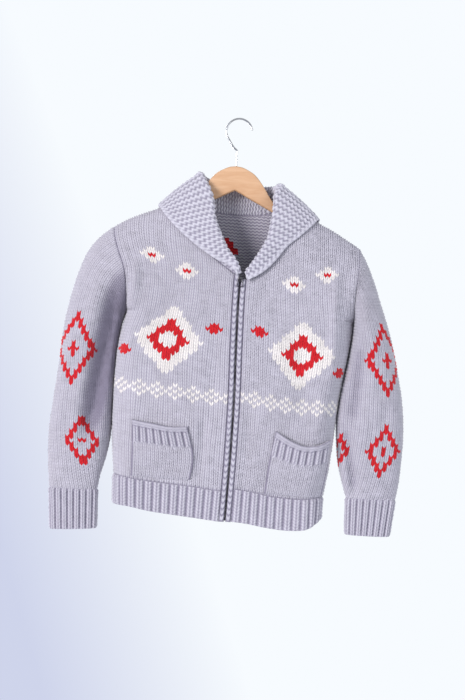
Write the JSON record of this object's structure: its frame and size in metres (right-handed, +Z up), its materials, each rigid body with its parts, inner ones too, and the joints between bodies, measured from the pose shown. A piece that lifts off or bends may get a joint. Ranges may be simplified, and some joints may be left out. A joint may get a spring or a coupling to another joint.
{
  "type": "chunky knit zip cardigan on a wooden clothes hanger",
  "caption": "Chunky knit zip cardigan with shawl collar, patch pockets and ribbed hem and cuffs, hanging open-necked on a wooden hanger with a wire hook",
  "frame": {"origin": "inner top of the hanger's hook, the point that rests on the rail", "axes": "X to the viewer's right, Y away from the viewer (the front faces -Y), Z up"},
  "size_m": [0.7075, 0.1129, 0.8388],
  "materials": {
    "yarn": "matt chunky wool, stocking stitch and rib",
    "collar_yarn": "matt chunky wool, moss stitch and edging, lighter",
    "wood": "clear satin varnish",
    "wire": "bright wire",
    "zip_metal": "dark zip chain, tape, slider and pull"
  },
  "bodies": {
    "cardigan": {"back_panel": "yarn", "left_front": "yarn", "right_front": "yarn", "left_sleeve": "yarn", "right_sleeve": "yarn", "left_cuff": "yarn", "right_cuff": "yarn", "left_hem": "yarn", "right_hem": "yarn", "back_hem": "yarn", "collar": "collar_yarn", "left_pocket": "yarn", "right_pocket": "yarn", "left_zip_band": "collar_yarn", "right_zip_band": "collar_yarn", "zip": "zip_metal", "zip_slider": "zip_metal", "hanger_wood": "wood", "hanger_hook": "wire"},
    "zip_pull": {"zip_pull": "zip_metal"}
  },
  "joints": [
    {"name": "pull_hinge", "type": "hinge", "parent": "cardigan", "child": "zip_pull", "pos_m": [0.01419, -0.04667, -0.32142], "axis": [-1, 0, 0], "range_deg": [0, 130]}
  ]
}
